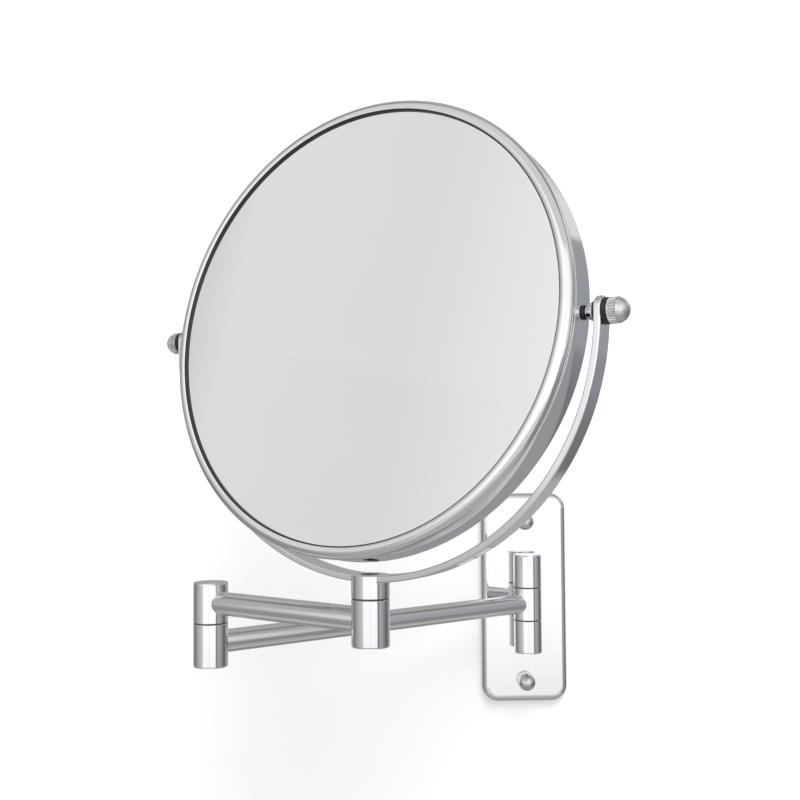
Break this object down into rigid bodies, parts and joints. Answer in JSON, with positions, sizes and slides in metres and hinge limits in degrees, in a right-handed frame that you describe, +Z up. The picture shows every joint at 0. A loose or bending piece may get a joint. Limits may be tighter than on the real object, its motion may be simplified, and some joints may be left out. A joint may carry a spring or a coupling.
{
  "type": "extendable shaving mirror",
  "caption": "Wall-mounted round shaving mirror with glass on both faces, tilting in a half-ring yoke on a folding swing arm with a rounded wall plate.",
  "frame": {"origin": "middle of the wall plate's back face, on the wall", "axes": "+X to the right and +Z up as the user faces the wall, +Y into the wall; the mirror stands out towards -Y"},
  "size_m": [0.2524, 0.3109, 0.3522],
  "materials": {
    "polished_chrome": "polished",
    "satin_nickel": "satin",
    "bright_nickel": "bright",
    "black_oxide": "black oxide",
    "plated_steel": "zinc plated",
    "black_rubber": "matte",
    "dark_nylon": "matte",
    "mirror_glass": "silvered glass"
  },
  "bodies": {
    "wall_mount": {"wall_bracket": "plated_steel", "bracket_studs": "plated_steel", "cover_plate": "polished_chrome", "dome_nuts": "bright_nickel", "hinge_standoffs": "polished_chrome", "standoff_screws": "plated_steel", "upper_knuckle": "polished_chrome", "lower_knuckle": "polished_chrome", "wall_hinge_pin": "plated_steel", "wall_hinge_washers": "dark_nylon", "pin_plug": "polished_chrome"},
    "rear_arm": {"middle_knuckle": "polished_chrome", "rear_tube": "polished_chrome", "elbow_lower_knuckle": "polished_chrome", "elbow_washer": "dark_nylon"},
    "front_arm": {"elbow_upper_knuckle": "polished_chrome", "elbow_bolt": "plated_steel", "elbow_spring_washer": "plated_steel", "front_tube": "polished_chrome", "front_hub": "polished_chrome", "swivel_washer": "dark_nylon"},
    "yoke": {"yoke_cap": "polished_chrome", "yoke_bar": "polished_chrome", "yoke_screw": "black_oxide", "swivel_bolt": "plated_steel", "swivel_spring_washer": "plated_steel", "left_knob_washer": "black_rubber", "right_knob_washer": "black_rubber"},
    "head": {"head_rim": "polished_chrome", "front_bezel": "polished_chrome", "front_mirror": "mirror_glass", "rear_mirror": "mirror_glass", "front_gasket": "black_rubber", "rear_gasket": "black_rubber", "spacer_ring": "dark_nylon", "left_pivot_boss": "plated_steel", "right_pivot_boss": "plated_steel", "left_pivot_stud": "plated_steel", "right_pivot_stud": "plated_steel", "left_spacer": "polished_chrome", "right_spacer": "polished_chrome", "left_head_washer": "black_rubber", "right_head_washer": "black_rubber"},
    "left_knob": {"left_knob": "satin_nickel"},
    "right_knob": {"right_knob": "satin_nickel"}
  },
  "joints": [
    {"name": "wall_swing", "type": "hinge", "parent": "wall_mount", "child": "rear_arm", "pos_m": [0, -0.02063, -0.0021], "axis": [0, 0, 1], "range_deg": [-32, 89]},
    {"name": "elbow_fold", "type": "hinge", "parent": "rear_arm", "child": "front_arm", "pos_m": [-0.19814, -0.15782, 0.009], "axis": [0, 0, 1], "range_deg": [-150, 70]},
    {"name": "yoke_swivel", "type": "hinge", "parent": "front_arm", "child": "yoke", "pos_m": [-0.11035, -0.22993, 0.0312], "axis": [0, 0, 1], "continuous": true},
    {"name": "head_tilt", "type": "hinge", "parent": "yoke", "child": "head", "pos_m": [-0.11035, -0.22993, 0.1644], "axis": [0.8181, -0.575, 0], "continuous": true},
    {"name": "left_knob_turn", "type": "hinge", "parent": "head", "child": "left_knob", "pos_m": [-0.21671, -0.15518, 0.1644], "axis": [-0.8181, 0.575, 0], "range_deg": [0, 360]},
    {"name": "right_knob_turn", "type": "hinge", "parent": "head", "child": "right_knob", "pos_m": [-0.004, -0.30468, 0.1644], "axis": [0.8181, -0.575, 0], "range_deg": [0, 360]}
  ]
}
